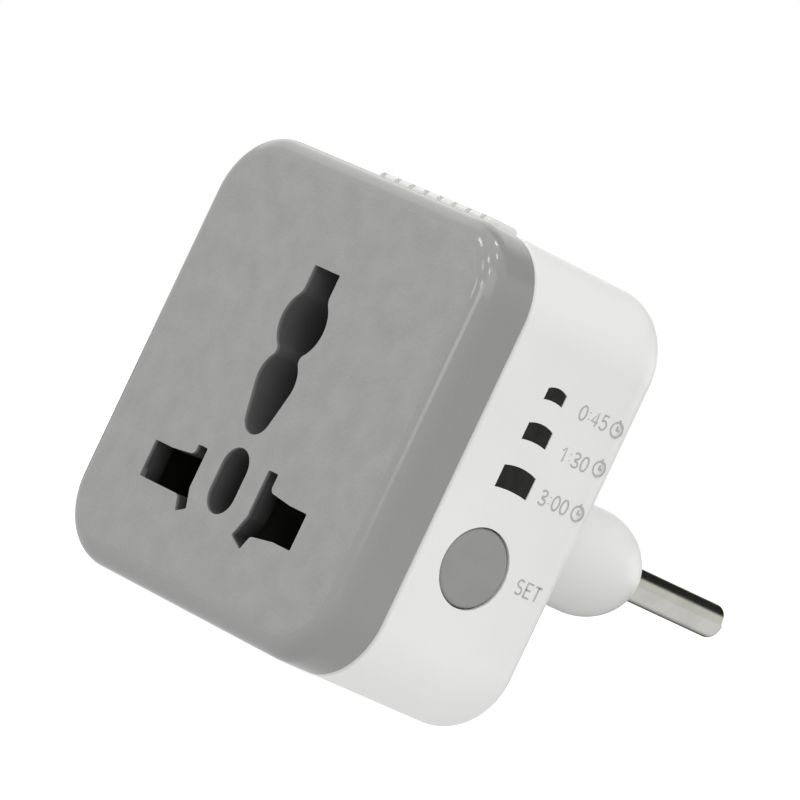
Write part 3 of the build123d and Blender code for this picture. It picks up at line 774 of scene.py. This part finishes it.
def bearing(azimuth, elevation):
    """Unit vector towards a direction: azimuth 0 is in front and 90 on the right-hand side."""
    turn, rise = math.radians(azimuth), math.radians(elevation)
    return Vector((math.sin(turn) * math.cos(rise), -math.cos(turn) * math.cos(rise), math.sin(rise)))


def add_softbox(name, azimuth, elevation, width, height, radiance):
    """Rectangular lamp that faces the middle of the case."""
    lamp = bpy.data.lights.new(name, "AREA")
    lamp.shape = "RECTANGLE"
    lamp.size, lamp.size_y = width, height
    lamp.energy = radiance * math.pi * width * height
    holder = bpy.data.objects.new(name, lamp)
    away = bearing(azimuth, elevation)
    place = Vector((0, 0, case_middle_height)) + away * lamp_distance
    holder.matrix_world = Matrix.Translation(place) @ away.to_track_quat("Z", "Y").to_matrix().to_4x4()
    holder.visible_camera = False
    bpy.context.scene.collection.objects.link(holder)
    return holder


def fade_lamp(lamp):
    """Let a lamp's light fade towards its edges, so that what mirrors it shows no border."""
    lamp.use_nodes = True
    tree = lamp.node_tree
    place = tree.nodes.new("ShaderNodeNewGeometry").outputs["Parametric"]
    away = tree.nodes.new("ShaderNodeVectorMath")
    away.operation = "DISTANCE"
    away.inputs[1].default_value = corner_lamp_middle
    fade = tree.nodes.new("ShaderNodeMapRange")
    fade.interpolation_type = "SMOOTHSTEP"
    fade.inputs["From Min"].default_value = corner_fade_start_share
    fade.inputs["From Max"].default_value = corner_fade_end_share
    fade.inputs["To Min"].default_value = 1.0
    fade.inputs["To Max"].default_value = 0.0
    tree.links.new(place, away.inputs[0])
    tree.links.new(away.outputs["Value"], fade.inputs["Value"])
    tree.links.new(fade.outputs["Result"], tree.nodes["Emission"].inputs["Strength"])


def add_corner_lamp():
    """Lamp that shows only as a soft shine on the front cover."""
    holder = add_softbox("corner_lamp", *corner_lamp)
    holder.visible_diffuse = False
    fade_lamp(holder.data)
    lit = bpy.data.collections.new("corner_lamp_lit")
    lit.objects.link(nodes["front_cover"])
    holder.light_linking.receiver_collection = lit


def add_lamps():
    """All lamps: no surface mirrors the key lamp, and the glints show only where they are mirrored."""
    for name, lamp in soft_lamps.items():
        add_softbox(name, *lamp).visible_glossy = name != "key_lamp"
    for number, glint in enumerate(glints):
        add_softbox(f"glint_lamp_{number}", *glint).visible_diffuse = False
    add_corner_lamp()


def add_world():
    """White surroundings, with a darker ceiling behind the object in what shiny surfaces reflect."""
    world = bpy.data.worlds.new("studio")
    world.use_nodes = True
    bpy.context.scene.world = world
    tree = world.node_tree
    tree.nodes.clear()
    path = tree.nodes.new("ShaderNodeLightPath")
    place = tree.nodes.new("ShaderNodeTexCoord")
    backdrop, soft, shiny = (tree.nodes.new("ShaderNodeBackground") for _ in range(3))
    for light, strength in ((backdrop, 1.0), (soft, world_strength)):
        light.inputs["Color"].default_value = white_light
        light.inputs["Strength"].default_value = strength
    towards = tree.nodes.new("ShaderNodeVectorMath")
    towards.operation = "DOT_PRODUCT"
    towards.inputs[1].default_value = ceiling_direction
    ceiling = tree.nodes.new("ShaderNodeValToRGB")
    first, last = ceiling.color_ramp.elements
    first.position, last.position = ceiling_start, ceiling_darkest
    first.color, last.color = sky_mirrored, ceiling_mirrored
    shiny_mix, backdrop_mix = (tree.nodes.new("ShaderNodeMixShader") for _ in range(2))
    out = tree.nodes.new("ShaderNodeOutputWorld")
    links = (
        (place.outputs["Generated"], towards.inputs[0]),
        (towards.outputs["Value"], ceiling.inputs["Fac"]),
        (ceiling.outputs["Color"], shiny.inputs["Color"]),
        (path.outputs["Is Glossy Ray"], shiny_mix.inputs["Fac"]),
        (soft.outputs["Background"], shiny_mix.inputs[1]),
        (shiny.outputs["Background"], shiny_mix.inputs[2]),
        (path.outputs["Is Camera Ray"], backdrop_mix.inputs["Fac"]),
        (shiny_mix.outputs["Shader"], backdrop_mix.inputs[1]),
        (backdrop.outputs["Background"], backdrop_mix.inputs[2]),
        (backdrop_mix.outputs["Shader"], out.inputs["Surface"]),
    )
    for source, target in links:
        tree.links.new(source, target)


def add_camera():
    """Camera at the photo's viewing angle."""
    turn = math.radians(view_azimuth)
    roll = math.radians(view_roll)
    back = bearing(view_azimuth, view_elevation)
    level_right = Vector((math.cos(turn), math.sin(turn), 0))
    level_up = back.cross(level_right)
    right = math.cos(roll) * level_right + math.sin(roll) * level_up
    up = math.cos(roll) * level_up - math.sin(roll) * level_right
    place = front_middle + aim_right * right + aim_up * up + camera_distance * back
    settings = bpy.data.cameras.new("camera")
    settings.sensor_width = sensor_width
    settings.lens = sensor_width * focal_pixels / photo_pixels
    settings.clip_end = camera_reach
    camera = bpy.data.objects.new("camera", settings)
    camera.matrix_world = Matrix.Translation(place) @ Matrix((right, up, back)).transposed().to_4x4()
    bpy.context.scene.collection.objects.link(camera)
    bpy.context.scene.camera = camera


add_floor()
add_world()
add_lamps()
add_camera()
bpy.context.scene.view_settings.view_transform = "Standard"
